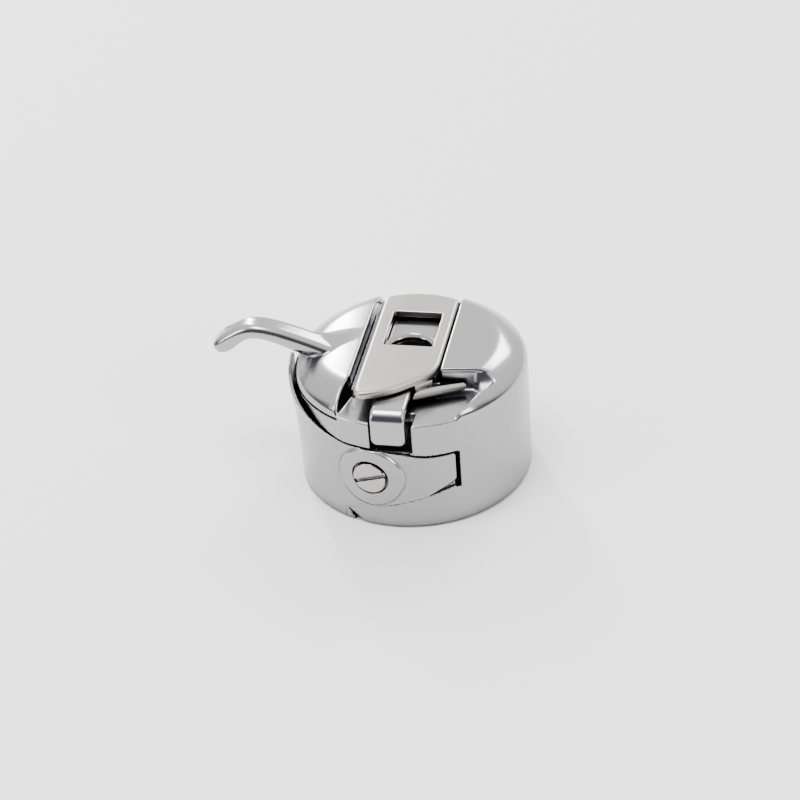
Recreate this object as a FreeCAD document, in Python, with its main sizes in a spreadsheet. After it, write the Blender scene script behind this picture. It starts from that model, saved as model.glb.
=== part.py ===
import FreeCAD, Part
import os
import re

import Sketcher

# Bobbin case of a front-loading sewing machine hook, in millimetres.
# Frame: the origin is on the case's axis, in the plane of the open rim. +Z points from the
# open rim to the latch face, +Y to the latch hinge, and the positioning finger points along -X.
# Azimuths are degrees about +Z, from -Y towards +X, so azimuth 0 is the side with the latch tab.

SIZES = {
    # case wall
    "wall_radius": 11.3,
    "wall_thickness": 0.85,
    "wall_top": 11.45,
    "rim_round": 0.25,
    "seam_gap": 0.22,
    "seam_depth": 0.4,
    "seam_start": -103,
    "seam_sweep": 75,
    "fit_gap": 0.01,
    # latch notch through the wall
    "notch_left": -2.05,
    "notch_right": 2.0,
    "notch_bottom": 8.7,
    "notch_inner": -9.0,
    # face cover
    "ceiling": 10.8,
    "dome_edge_top": 12.1,
    "dome_shoulder": 9.2,
    "dome_shoulder_top": 13.9,
    "dome_crown": 14.0,
    "shoulder_round": 2.2,
    # channel and recesses of the cover
    "channel_left": -4.6,
    "channel_right": 3.7,
    "channel_floor": 12.4,
    "channel_near": -6.5,
    "heel_room_start": 6.7,
    "heel_room_floor": 11.7,
    "recess_floor": 11.8,
    "recess_top": 13.5,
    # positioning finger
    "finger_width": 2.6,
    "finger_middle": -0.75,
    "finger_round": 0.4,
    "finger_crest_round": 4,
    "finger_under_round": 2.5,
    # centre post
    "post_radius": 2.9,
    "post_bore": 2.45,
    "post_rivet": 3.2,
    "post_top": 12.35,
    "post_collar": 3.7,
    "post_collar_thickness": 0.3,
    # latch slide
    "slide_bottom": 12.45,
    "slide_thickness": 0.75,
    "slide_half": 3.3,
    "slide_shoulder": -4.6,
    "slide_far": 6.9,
    "neck_left": -1.9,
    "neck_right": 1.45,
    "tab_face": -11.35,
    "tab_foot": 9.5,
    "tab_bend": 1.3,
    "tab_inner_bend": 0.55,
    "tab_corner": 0.7,
    "stud_hole": 2.2,
    "stud_hole_far": 0.06,
    "latch_travel": 1.3,
    "stud_hole_chamfer": 0.3,
    "knuckle_radius": 0.7,
    "knuckle_half": 2.3,
    "lug_half": 0.45,
    "lug_near": -8.2,
    "lug_far": -7.65,
    "lug_bottom": 11.3,
    # latch hinge
    "hinge_along": 8.1,
    "hinge_height": 12.6,
    "pin_radius": 0.38,
    "pin_running_gap": 0.04,
    "pin_half": 3.25,
    # latch lever
    "lever_bottom": 13.35,
    "lever_thickness": 0.75,
    "lever_left": -3.8,
    "lever_right": 3.6,
    "lever_far": 7.75,
    "lever_far_middle": 8.6,
    "lever_near": -9.6,
    "lever_corner": 0.9,
    "lever_slant_start": -0.8,
    "lever_slant_near": -9.0,
    "lever_slant_far": -5.0,
    "lever_slant_round": 3,
    "lever_edge": 0.2,
    "window_half": 2.36,
    "window_near": -0.85,
    "window_far": 5,
    "ear_inner": 2.4,
    "ear_outer": 3.3,
    "ear_radius": 0.72,
    # nail tongue of the lever
    "tongue_bottom": 12.1,
    "tongue_top": 13.0,
    "tongue_left": 1.6,
    "tongue_right": 6.4,
    "tongue_root_depth": 0.2,
    # latch coil spring
    "coil_wire": 0.11,
    "coil_radius": 0.47,
    "coil_pitch": 0.6,
    "coil_near": -7.5,
    "coil_length": 4.02,
    "coil_height": 11.75,
    "groove_half": 0.72,
    "groove_near": -8.3,
    "groove_far": -3.25,
    "groove_floor": 11.05,
    # tension spring and its seat
    "leaf_outer": 11.3,
    "leaf_thickness": 0.3,
    "leaf_start": -27,
    "leaf_end": 31,
    "leaf_back": -88,
    "leaf_top": 8.85,
    "leaf_bottom": 1.4,
    "leaf_back_bottom": 0.2,
    "leaf_back_height": 11.95,
    "leaf_swing_radius": 12.7,
    "leaf_end_top": 8.05,
    "leaf_dip_start": 2.6,
    "leaf_rise_start": -5.1,
    "leaf_rise_slope": 29,
    "leaf_under_at": 3.17,
    "leaf_under_height": 3.57,
    "leaf_under_slope": 15.5,
    "leaf_tip_slope": 24,
    "hook_azimuth": -91,
    "hook_width": 0.4,
    "hook_bottom": 4,
    "hook_top": 8,
    "hook_play": 0.1,
    "seat_gap": 0.02,
    "seat_top_gap": 0.2,
    "seat_under_gap": 0.04,
    "seat_end_gap": 1.6,
    # thread slot, its mouth at the rim and its end at the leaf's tip
    "slot_width": 0.5,
    "slot_start": -5.75,
    "slot_end": 6.1,
    "slot_bottom": 1.5,
    "mouth_start": -5.85,
    "mouth_end": -2.5,
    "mouth_height": 1.75,
    "mouth_width": 0.55,
    "mouth_slope": 47,
    "eye_azimuth": 32,
    "eye_bottom": 4.0,
    "eye_top": 8.1,
    # tension screw
    "screw_azimuth": -11.5,
    "screw_height": 5.68,
    "screw_head": 1.65,
    "screw_head_thickness": 0.32,
    "screw_recess": 1.8,
    "screw_recess_floor": 11.25,
    "screw_shank": 0.7,
    "screw_running_gap": 0.05,
    "screw_tip": 10.5,
    "screw_slot_width": 0.35,
    "screw_slot_depth": 0.2,
    "dish_radius": 3.1,
    "dish_face": 11.46,
}

# Outline of the near recess in the cover: places on the face, at the top and on the floor.
RECESS_TOP = [(-4.6, -6.4), (3.3, -4.5), (7.5, -3.95), (10.1, -4.2), (8.1, -6.3), (6.75, -8.9),
              (5.2, -12.6), (-6.6, -12.6), (-5.45, -9.1)]
RECESS_FLOOR = [(-4.5, -6.4), (3.3, -4.7), (6.9, -4.4), (8.0, -5.2), (7.3, -6.6), (6.2, -8.9),
                (4.8, -12.6), (-6.1, -12.6), (-5.1, -9.1)]

# Side outline of the positioning finger: distance from the axis, height.
FINGER_SIDE = [(-6.0, 12.95), (-14.9, 16.35), (-19.35, 13.45), (-18.0, 12.5), (-15.0, 14.6),
               (-8.5, 12.2)]

# Outlines of the lever's nail tongue and of its root under the plate: places on the face.
TONGUE = [("tongue_left", "-7.65"), ("tongue_right", "-5.2"), ("tongue_right - 0.25", "-4.75"),
          ("3.2", "-5.75"), ("tongue_left + 0.1", "-6.6")]
TONGUE_ROOT = [("tongue_left + 0.1", "-6.9"), ("3.2", "-5.75"), ("3.2", "-5.5"),
               ("tongue_left + 0.1", "-6.3")]

doc = FreeCAD.newDocument("bobbin_case")
sheet = doc.addObject("Spreadsheet::Sheet", "sizes")
for row, (alias, value) in enumerate(SIZES.items(), start=1):
    sheet.set(f"A{row}", alias)
    sheet.set(f"B{row}", str(value))
    sheet.setAlias(f"B{row}", alias)
doc.recompute()


def cell(expression):
    """Write an expression of aliases as one that reads the spreadsheet."""
    return re.sub(r"\b(?!sin\b|cos\b|tan\b|sqrt\b)[a-z][a-z_]+", r"sizes.\g<0>", str(expression))


def bind(item, **sizes):
    """Bind properties of an object to expressions; x, y and z are its place."""
    places = {"x": ".Placement.Base.x", "y": ".Placement.Base.y", "z": ".Placement.Base.z",
              "turn": ".Placement.Rotation.Angle", "yaw": ".Placement.Rotation.Yaw",
              "tip_over": ".Placement.Rotation.Roll"}
    for name, expression in sizes.items():
        item.setExpression(places.get(name, name), cell(expression))
    return item


def box(name, low, high, axis=None, turn=0):
    """A block between two corners, turned about its low corner if an axis is given."""
    item = doc.addObject("Part::Box", name)
    if axis:
        item.Placement = FreeCAD.Placement(FreeCAD.Vector(), FreeCAD.Rotation(FreeCAD.Vector(*axis), 1))
        bind(item, turn=turn)
    spans = [f"({top}) - ({bottom})" for bottom, top in zip(low, high)]
    return bind(item, x=low[0], y=low[1], z=low[2], Length=spans[0], Width=spans[1], Height=spans[2])


def radial_box(name, azimuth, width, inner, outer, bottom, top):
    """A block standing across the wall at an azimuth, from the inner to the outer radius."""
    item = doc.addObject("Part::Box", name)
    item.Placement = FreeCAD.Placement(FreeCAD.Vector(), FreeCAD.Rotation(FreeCAD.Vector(0, 0, 1), 1))
    east = f"-cos({azimuth}) * ({width}) / 2 + sin({azimuth}) * ({outer})"
    north = f"-sin({azimuth}) * ({width}) / 2 - cos({azimuth}) * ({outer})"
    return bind(item, turn=azimuth, x=east, y=north, z=bottom, Length=width,
                Width=f"({outer}) - ({inner})", Height=f"({top}) - ({bottom})")


def rod(name, radius, length, place=("0", "0", "0"), axis=(0, 0, 1), angle=0):
    """A cylinder from a place along +Z, or turned by an angle about an axis."""
    item = doc.addObject("Part::Cylinder", name)
    if angle:
        turn = FreeCAD.Rotation(FreeCAD.Vector(*axis), 1)
        item.Placement = FreeCAD.Placement(FreeCAD.Vector(), turn)
        bind(item, turn=angle)
    return bind(item, Radius=radius, Height=length, x=place[0], y=place[1], z=place[2])


def radial_rod(name, azimuth, height, radius, inner, outer):
    """A cylinder that lies along a radius of the case, between two distances from its axis."""
    item = doc.addObject("Part::Cylinder", name)
    bind(item, tip_over=90, yaw=azimuth)
    return bind(item, Radius=radius, Height=f"({outer}) - ({inner})", x=f"sin({azimuth}) * ({inner})",
                y=f"-cos({azimuth}) * ({inner})", z=height)


def ring_sector(name, inner, outer, bottom, top, start, sweep):
    """A piece of tube wall about the case's axis, from a start azimuth over a sweep."""
    solids = []
    for label, radius in (("outer", outer), ("inner", inner)):
        item = doc.addObject("Part::Cylinder", f"{name}_{label}")
        item.Placement = FreeCAD.Placement(FreeCAD.Vector(), FreeCAD.Rotation(FreeCAD.Vector(0, 0, 1), 1))
        bind(item, turn=f"{start} - 90", z=bottom, Radius=radius, Height=f"({top}) - ({bottom})")
        solids.append(item)
    bind(solids[0], Angle=sweep)
    return cut(name, solids[0], [solids[1]])


def fuse(name, pieces):
    """Join pieces into one solid."""
    item = doc.addObject("Part::MultiFuse", name)
    item.Shapes = pieces
    item.Refine = True
    return item


def cut(name, base, tools):
    """Take one tool, or several joined tools, away from a base."""
    item = doc.addObject("Part::Cut", name)
    item.Base = base
    item.Tool = tools[0] if len(tools) == 1 else fuse(f"{name}_tools", tools)
    return item


def common(name, pieces):
    """Keep what all the pieces share."""
    item = doc.addObject("Part::MultiCommon", name)
    item.Shapes = pieces
    return item


def draw(sketch, outline):
    """Draw a closed outline whose corners are bound to expressions."""
    doc.recompute()
    corners = [tuple(float(sheet_value(part)) for part in corner) for corner in outline]
    count = len(corners)
    for index, (start, end) in enumerate(zip(corners, corners[1:] + corners[:1])):
        sketch.addGeometry(Part.LineSegment(FreeCAD.Vector(*start), FreeCAD.Vector(*end)))
        if index:
            sketch.addConstraint(Sketcher.Constraint("Coincident", index - 1, 2, index, 1))
    sketch.addConstraint(Sketcher.Constraint("Coincident", count - 1, 2, 0, 1))
    for index, (start, corner) in enumerate(zip(corners, outline)):
        for axis, value, expression in zip(("DistanceX", "DistanceY"), start, corner):
            number = sketch.addConstraint(Sketcher.Constraint(axis, -1, 1, index, 1, value))
            sketch.setExpression(f"Constraints[{number}]", cell(expression))


def sheet_value(expression):
    """The number that an expression of aliases gives."""
    return float(sheet.evalExpression(re.sub("sizes\\.", "", cell(expression))))


def body_sketch(body, name, role, outline):
    """A sketch on one of a body's own origin planes."""
    sketch = body.newObject("Sketcher::SketchObject", name)
    plane = [item for item in body.Origin.OriginFeatures if item.Role == role][0]
    sketch.AttachmentSupport = [(plane, "")]
    sketch.MapMode = "FlatFace"
    draw(sketch, outline)
    return sketch


def edges_where(item, test):
    """Names of the edges of a feature's shape that pass a test."""
    doc.recompute()
    return [f"Edge{number}" for number, edge in enumerate(item.Shape.Edges, start=1) if test(edge)]


def round_edges(body, name, base, radius, test):
    """Round the edges of a body's feature that pass a test."""
    item = body.newObject("PartDesign::Fillet", name)
    item.Base = (base, edges_where(base, test))
    item.setExpression("Radius", cell(radius))
    body.Tip = item
    doc.recompute()
    return item


def sweep_block(name, outline, low, high):
    """A prism on an outline, between two heights."""
    sketch = doc.addObject("Sketcher::SketchObject", f"{name}_outline")
    draw(sketch, outline)
    bind(sketch, z=low)
    item = doc.addObject("Part::Extrusion", name)
    item.Base = sketch
    item.DirMode = "Custom"
    item.Dir = FreeCAD.Vector(0, 0, 1)
    item.Solid = True
    item.setExpression("LengthFwd", cell(f"({high}) - ({low})"))
    return item


def finish(item, label):
    """Give a finished sub-part its own name."""
    doc.recompute()
    item.Label = label
    finished.append(item)


finished = []


def make_case_wall():
    """The cup's wall, with the latch notch, the spring's seat, the thread slot and the seam."""
    body = doc.addObject("PartDesign::Body", "wall_body")
    inner = "wall_radius - wall_thickness"
    outline = [(inner, "0"), ("wall_radius", "0"), ("wall_radius", "wall_top"), (inner, "wall_top")]
    sketch = body_sketch(body, "wall_section", "XZ_Plane", outline)
    turned = body.newObject("PartDesign::Revolution", "wall_turned")
    turned.Profile = sketch
    turned.ReferenceAxis = (sketch, ["V_Axis"])
    turned.Angle = 360
    round_edges(body, "wall_rim", turned, "rim_round",
                lambda edge: edge.Length > 1 and edge.BoundBox.ZMax < 0.001)
    seat = "leaf_outer - leaf_thickness - seat_gap"
    back_seat_start = "leaf_back + 8"
    tools = [
        box("latch_notch", ("notch_left", "-wall_radius - 2", "notch_bottom"),
            ("notch_right", "notch_inner", "wall_top + 1")),
        cut("leaf_seat", ring_sector("leaf_seat_ring", seat, "wall_radius + 1", "leaf_bottom",
                                     "leaf_top + seat_top_gap", "leaf_start - 8",
                                     "leaf_end - leaf_start + 8 + seat_end_gap"),
            [under_block("leaf_seat_under", "seat_under_gap"), dip_block("leaf_seat_dip", "seat_top_gap")]),
        cut("leaf_back_seat", ring_sector("leaf_back_ring", seat, "wall_radius + 1", "-1", "wall_top + 1",
                                          back_seat_start, f"leaf_start + 0.3 - ({back_seat_start})"),
            [rise_block("leaf_seat_rise", "seat_top_gap")]),
        radial_rod("screw_thread", "screw_azimuth", "screw_height", "screw_shank + screw_running_gap",
                   "wall_radius - 3", "wall_radius + 1"),
        box("thread_slot", ("slot_start", "-wall_radius - 2", "slot_bottom"),
            ("slot_end", "-wall_radius + 4", "slot_bottom + slot_width"), (0, -1, 0), "leaf_under_slope"),
        mouth_block("thread_mouth"),
        radial_box("thread_eye", "eye_azimuth", "slot_width", "wall_radius - 3", "wall_radius + 1",
                   "eye_bottom", "eye_top"),
        radial_box("leaf_hook_slot", "hook_azimuth", "hook_width + hook_play", "wall_radius - 3",
                   "wall_radius + 1", "hook_bottom - hook_play", "hook_top + hook_play"),
        ring_sector("seam", "wall_radius - seam_depth", "wall_radius + 1", "wall_top - seam_gap",
                    "wall_top + 1", "seam_start", "seam_sweep"),
    ]
    finish(cut("case_wall", body, tools), "case_wall")


def below_line(name, east, height, slope, gap="0"):
    """The space below a line across the near side that rises along +X from one place on it."""
    back, deep = 14, 12
    return box(name, (f"{east} - {back} * cos({slope}) + {deep} * sin({slope})", "-wall_radius - 3",
                      f"{height} - ({gap}) - {back} * sin({slope}) - {deep} * cos({slope})"),
               (f"{east} - {back} * cos({slope}) + {deep} * sin({slope}) + 2 * {back}", "0",
                f"{height} - ({gap}) - {back} * sin({slope}) - {deep} * cos({slope}) + {deep}"),
               (0, -1, 0), slope)


def under_block(name, gap):
    """The space below the tension spring's slanting lower edge."""
    return below_line(name, "leaf_under_at", "leaf_under_height", "leaf_under_slope", gap)


def dip_block(name, gap):
    """The space above the tension spring's lower right end."""
    return box(name, ("leaf_dip_start", "-wall_radius - 3", f"leaf_end_top + {gap}"),
               ("leaf_dip_start + 9", "0", "leaf_end_top + 9"))


def rise_block(name, gap):
    """The space above the tension spring's rising back end."""
    far_left = -16
    corner = f"leaf_top - 0.1 + {gap} + (leaf_rise_start - ({far_left})) * tan(leaf_rise_slope)"
    length = f"(leaf_rise_start - ({far_left})) / cos(leaf_rise_slope)"
    return box(name, (str(far_left), "-14", corner), (f"{far_left} + {length}", "14", f"{corner} + 10"),
               (0, 1, 0), "leaf_rise_slope")


def mouth_block(name):
    """The slanting mouth where the thread enters at the rim."""
    return box(name, ("mouth_start", "-wall_radius - 2", "mouth_height"),
               ("mouth_end", "-wall_radius + 5", "mouth_height + mouth_width"), (0, 1, 0), "mouth_slope")


def make_face_cover():
    """The domed cover with the latch channel, the near recess and the positioning finger."""
    dome = doc.addObject("PartDesign::Body", "dome_body")
    outline = [("0", "wall_top"), ("wall_radius", "wall_top"), ("wall_radius", "dome_edge_top"),
               ("dome_shoulder", "dome_shoulder_top"), ("0", "dome_crown")]
    sketch = body_sketch(dome, "dome_section", "XZ_Plane", outline)
    turned = dome.newObject("PartDesign::Revolution", "dome_turned")
    turned.Profile = sketch
    turned.ReferenceAxis = (sketch, ["V_Axis"])
    turned.Angle = 360
    round_edges(dome, "dome_rounding", turned, "shoulder_round",
                lambda edge: abs(edge.BoundBox.ZMax - sheet_value("dome_shoulder_top")) < 0.01
                and edge.Length > 20 and edge.BoundBox.ZLength < 0.01)
    plug = rod("cover_plug", "wall_radius - wall_thickness - fit_gap", "wall_top - ceiling + 0.5",
               ("0", "0", "ceiling"))
    face = fuse("face_whole", [dome, plug, make_finger()])
    tools = [
        box("channel", ("channel_left", "channel_near", "channel_floor"), ("channel_right", "14", "16")),
        box("heel_room", ("channel_left", "heel_room_start", "heel_room_floor"),
            ("channel_right", "14", "channel_floor + 0.2")),
        make_recess(),
        box("cover_notch", ("notch_left", "-14", "ceiling - 1"), ("notch_right", "notch_inner", "16")),
        rod("post_seat", "post_rivet + fit_gap", "6", ("0", "0", "ceiling - 1")),
        box("coil_groove", ("-groove_half", "groove_near", "groove_floor"),
            ("groove_half", "groove_far", "channel_floor + 0.2")),
    ]
    finish(cut("face_cover", face, tools), "face_cover")


def make_recess():
    """The sloping hollow at the near side of the cover, round the latch's end."""
    loft = doc.addObject("Part::Loft", "near_recess")
    sections = []
    levels = (("top", "recess_top", RECESS_TOP), ("floor", "recess_floor", RECESS_FLOOR))
    for level, height, outline in levels:
        sketch = doc.addObject("Sketcher::SketchObject", f"recess_{level}")
        draw(sketch, outline)
        bind(sketch, z=height)
        sections.append(sketch)
    loft.Sections = sections
    loft.Solid = True
    loft.Ruled = True
    above = sweep_block("above_recess", RECESS_TOP, "recess_top", "recess_top + 3")
    return fuse("recess_space", [loft, above])


def make_finger():
    """The bent positioning finger that stands out of the cover."""
    body = doc.addObject("PartDesign::Body", "finger_body")
    sketch = body_sketch(body, "finger_side", "XZ_Plane", FINGER_SIDE)
    pad = body.newObject("PartDesign::Pad", "finger_pad")
    pad.Profile = sketch
    pad.setExpression("Length", cell("finger_width"))
    pad.Midplane = True
    body.Tip = pad
    doc.recompute()
    bends = [("finger_crest", "finger_crest_round", FINGER_SIDE[1]),
             ("finger_under", "finger_under_round", FINGER_SIDE[4])]
    base = pad
    for name, radius, corner in bends:
        base = round_edges(body, name, base, radius, lambda edge, spot=corner: along_y(edge)
                           and abs(edge.BoundBox.Center.x - spot[0]) < 0.05
                           and abs(edge.BoundBox.Center.z - spot[1]) < 0.05)
    round_edges(body, "finger_long_edges", base, "finger_round",
                lambda edge: not along_y(edge) and edge.BoundBox.Center.x < -8)
    return bind(body, y="finger_middle")


def along_y(edge):
    """Whether a straight edge runs along Y."""
    return edge.BoundBox.YLength > 0.5 and edge.BoundBox.XLength < 0.01 and edge.BoundBox.ZLength < 0.01


def make_centre_post():
    """The hollow post that the bobbin turns on and the hook's stud enters."""
    pieces = [rod("post_tube", "post_radius", "ceiling"),
              rod("post_rivet_end", "post_rivet", "post_top - ceiling", ("0", "0", "ceiling")),
              rod("post_flange", "post_collar", "post_collar_thickness",
                  ("0", "0", "ceiling - post_collar_thickness"))]
    whole = fuse("post_whole", pieces)
    bore = rod("post_bore_space", "post_bore", "post_top")
    finish(cut("centre_post", whole, [bore]), "centre_post")


def make_latch_slide():
    """The sliding latch plate with its tab, stud hole, spring lug and hinge knuckle."""
    top = "slide_bottom + slide_thickness"
    plate = box("slide_plate", ("-slide_half", "slide_shoulder", "slide_bottom"),
                ("slide_half", "slide_far", top))
    body = doc.addObject("PartDesign::Body", "tab_body")
    outline = [("slide_shoulder + 1", top), ("tab_face", top), ("tab_face", "tab_foot"),
               ("tab_face + slide_thickness", "tab_foot"),
               ("tab_face + slide_thickness", "slide_bottom"), ("slide_shoulder + 1", "slide_bottom")]
    sketch = body_sketch(body, "tab_side", "YZ_Plane", outline)
    pad = body.newObject("PartDesign::Pad", "tab_pad")
    pad.Profile = sketch
    pad.setExpression("Length", cell("neck_right - neck_left"))
    body.Tip = pad
    doc.recompute()
    face, level = sheet_value("tab_face"), sheet_value(top)
    foot = sheet_value("tab_foot")
    outer = round_edges(body, "tab_outer_bend", pad, "tab_bend",
                        lambda edge: abs(edge.BoundBox.Center.y - face) < 0.01
                        and abs(edge.BoundBox.Center.z - level) < 0.01)
    back, under = sheet_value("tab_face + slide_thickness"), sheet_value("slide_bottom")
    inner = round_edges(body, "tab_inner_bend_round", outer, "tab_inner_bend",
                        lambda edge: abs(edge.BoundBox.Center.y - back) < 0.01
                        and abs(edge.BoundBox.Center.z - under) < 0.01)
    round_edges(body, "tab_corners", inner, "tab_corner",
                lambda edge: abs(edge.BoundBox.Center.z - foot) < 0.01 and edge.BoundBox.YLength > 0.5
                and edge.BoundBox.XLength < 0.01)
    bind(body, x="neck_left")
    tail = box("slide_tail", ("-knuckle_half", "slide_far - 0.5", "slide_bottom"),
               ("knuckle_half", "hinge_along", top))
    knuckle = rod("slide_knuckle", "knuckle_radius", "2 * knuckle_half",
                  ("-knuckle_half", "hinge_along", "hinge_height"), (0, 1, 0), 90)
    lug = box("slide_lug", ("-lug_half", "lug_near", "lug_bottom"), ("lug_half", "lug_far", top))
    whole = fuse("slide_whole", [plate, body, tail, knuckle, lug])
    hole_ends = [rod(f"stud_hole_{end}", "stud_hole", "3", ("0", place, "slide_bottom - 1"))
                 for end, place in (("far", "stud_hole_far"), ("near", "stud_hole_far - latch_travel"))]
    hole_middle = box("stud_hole_middle", ("-stud_hole", "stud_hole_far - latch_travel", "slide_bottom - 1"),
                      ("stud_hole", "stud_hole_far", "slide_bottom + 2"))
    chamfer = doc.addObject("Part::Cone", "stud_hole_edge")
    bind(chamfer, Radius1="stud_hole", Radius2="stud_hole + stud_hole_chamfer", Height="stud_hole_chamfer",
         x="0", y="stud_hole_far", z=f"{top} - stud_hole_chamfer")
    pin_hole = rod("knuckle_bore", "pin_radius + pin_running_gap", "2 * knuckle_half + 2",
                   ("-knuckle_half - 1", "hinge_along", "hinge_height"), (0, 1, 0), 90)
    finish(cut("latch_slide", whole, hole_ends + [hole_middle, chamfer, pin_hole]), "latch_slide")


def make_hinge_pin():
    """The pin on which the lever swings."""
    finish(rod("hinge_pin", "pin_radius", "2 * pin_half", ("-pin_half", "hinge_along", "hinge_height"),
               (0, 1, 0), 90), "hinge_pin")


def make_latch_lever():
    """The latch lever with its window, hinge ears and nail tongue."""
    body = doc.addObject("PartDesign::Body", "lever_body")
    outline = [("lever_left", "lever_far"), ("0", "lever_far_middle"), ("lever_right", "lever_far"),
               ("lever_right", "lever_slant_far"), ("lever_slant_start", "lever_slant_near"),
               ("lever_left", "lever_near")]
    pad = body.newObject("PartDesign::Pad", "lever_pad")
    pad.Profile = body_sketch(body, "lever_outline", "XY_Plane", outline)
    pad.setExpression("Length", cell("lever_thickness"))
    body.Tip = pad
    doc.recompute()
    thickness = sheet_value("lever_thickness")
    rounds = [("lever_near_corner", "lever_corner", sheet_value("lever_left"), sheet_value("lever_near")),
              ("lever_slant_bend", "lever_slant_round", sheet_value("lever_slant_start"),
               sheet_value("lever_slant_near")),
              ("lever_far_bend", "lever_slant_round * 3", 0, sheet_value("lever_far_middle"))]
    base = pad
    for name, radius, east, north in rounds:
        base = round_edges(body, name, base, radius,
                           lambda edge, x=east, y=north: abs(edge.BoundBox.Center.x - x) < 0.01
                           and abs(edge.BoundBox.Center.y - y) < 0.01)
    window = body.newObject("PartDesign::Pocket", "lever_window")
    window.Profile = body_sketch(body, "window_outline", "XY_Plane",
                                 [("-window_half", "window_near"), ("window_half", "window_near"),
                                  ("window_half", "window_far"), ("-window_half", "window_far")])
    window.Type = "ThroughAll"
    window.Reversed = True
    body.Tip = window
    doc.recompute()
    round_edges(body, "lever_top_edges", window, "lever_edge",
                lambda edge: edge.BoundBox.ZMin > thickness - 0.001)
    bind(body, z="lever_bottom")
    ears = []
    for side, inner, outer in (("left", "-ear_outer", "-ear_inner"), ("right", "ear_inner", "ear_outer")):
        ears.append(rod(f"{side}_ear", "ear_radius", f"({outer}) - ({inner})",
                        (inner, "hinge_along", "hinge_height"), (0, 1, 0), 90))
        ears.append(box(f"{side}_ear_root", (inner, "hinge_along - ear_radius", "hinge_height"),
                        (outer, "hinge_along + ear_radius * 0.6", "lever_bottom + 0.1")))
    tongue = sweep_block("tongue", TONGUE, "tongue_bottom", "tongue_top")
    tongue_root = sweep_block("tongue_root", TONGUE_ROOT, "tongue_top - tongue_root_depth",
                              "lever_bottom + 0.1")
    whole = fuse("lever_whole", [body, tongue, tongue_root] + ears)
    pin_hole = rod("ear_bore", "pin_radius + fit_gap", "2 * ear_outer + 2",
                   ("-ear_outer - 1", "hinge_along", "hinge_height"), (0, 1, 0), 90)
    finish(cut("latch_lever", whole, [pin_hole]), "latch_lever")


def make_latch_coil():
    """The small compression spring that keeps the latch closed."""
    helix = doc.addObject("Part::Helix", "coil_path")
    helix.Style = 1
    bind(helix, Pitch="coil_pitch", Height="coil_length - 2 * coil_wire", Radius="coil_radius")
    wire = doc.addObject("Part::Circle", "coil_section")
    bind(wire, Radius="coil_wire", x="coil_radius", tip_over=90)
    sweep = doc.addObject("Part::Sweep", "coil_spring")
    sweep.Sections = [wire]
    sweep.Spine = helix
    sweep.Solid = True
    sweep.Frenet = True
    doc.recompute()
    bind(sweep, tip_over=-90, y="coil_near + coil_wire", z="coil_height", x="0")
    finish(sweep, "latch_spring")


def make_tension_spring():
    """The leaf spring that presses the thread against the wall, with its dish and back hook."""
    inner = "leaf_outer - leaf_thickness"
    front = ring_sector("leaf_front", inner, "leaf_outer", "leaf_bottom", "leaf_top", "leaf_start",
                        "leaf_end - leaf_start")
    shift = "(leaf_swing_radius - leaf_outer)"
    swing = []
    for name, radius in (("leaf_swing_outer", "leaf_swing_radius"),
                         ("leaf_swing_inner", "leaf_swing_radius - leaf_thickness")):
        item = doc.addObject("Part::Cylinder", name)
        item.Placement = FreeCAD.Placement(FreeCAD.Vector(), FreeCAD.Rotation(FreeCAD.Vector(0, 0, 1), 1))
        bind(item, turn="leaf_back - 90", Radius=radius, Height="leaf_back_height",
             x=f"-sin(leaf_start) * {shift}", y=f"cos(leaf_start) * {shift}", z="leaf_back_bottom")
        swing.append(item)
    bind(swing[0], Angle="leaf_start - leaf_back")
    back = cut("leaf_back_part", swing[0], [swing[1]])
    hook = radial_box("leaf_hook", "hook_azimuth", "hook_width", "wall_radius - wall_thickness + 0.1",
                      "wall_radius + 0.6", "hook_bottom", "hook_top")
    dish = common("leaf_dish", [
        radial_rod("leaf_dish_round", "screw_azimuth", "screw_height", "dish_radius", "wall_radius - 2",
                   "wall_radius + 1"),
        ring_sector("leaf_dish_shell", "leaf_outer - leaf_thickness / 2", "dish_face", "leaf_bottom",
                    "leaf_top", "leaf_start", "leaf_end - leaf_start")])
    whole = fuse("leaf_whole", [front, back, dish, hook])
    screw_hole = radial_rod("leaf_hole", "screw_azimuth", "screw_height", "screw_shank + screw_running_gap",
                            "wall_radius - 3", "wall_radius + 1")
    recess = radial_rod("leaf_screw_recess", "screw_azimuth", "screw_height", "screw_recess",
                        "screw_recess_floor", "wall_radius + 1")
    under = cut("leaf_under", under_block("leaf_under_space", "0"), [back])
    tip = below_line("leaf_tip", "leaf_under_at", "leaf_under_height", "leaf_tip_slope")
    near_tip = common("leaf_tip_space", [tip, box("leaf_tip_end", ("leaf_under_at", "-wall_radius - 3", "0"),
                                                  ("wall_radius", "0", "leaf_top"))])
    tools = [under, near_tip, dip_block("leaf_dip", "0"), mouth_block("leaf_mouth"), screw_hole, recess,
             rise_block("leaf_rise", "0")]
    finish(cut("tension_spring", whole, tools), "tension_spring")


def make_tension_screw():
    """The slotted screw that sets the thread tension."""
    seat = "screw_recess_floor + screw_running_gap"
    pieces = [radial_rod("screw_head_disc", "screw_azimuth", "screw_height", "screw_head", seat,
                         f"{seat} + screw_head_thickness"),
              radial_rod("screw_body", "screw_azimuth", "screw_height", "screw_shank", "screw_tip",
                         f"{seat} + 0.1")]
    whole = fuse("screw_whole", pieces)
    slot = radial_box("screw_slot", "screw_azimuth", "2 * screw_head + 1",
                      f"{seat} + screw_head_thickness - screw_slot_depth", "wall_radius + 2",
                      "screw_height - screw_slot_width / 2", "screw_height + screw_slot_width / 2")
    finish(cut("tension_screw", whole, [slot]), "tension_screw")


make_case_wall()
make_face_cover()
make_centre_post()
make_latch_slide()
make_hinge_pin()
make_latch_lever()
make_latch_coil()
make_tension_spring()
make_tension_screw()
doc.recompute()

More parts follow.
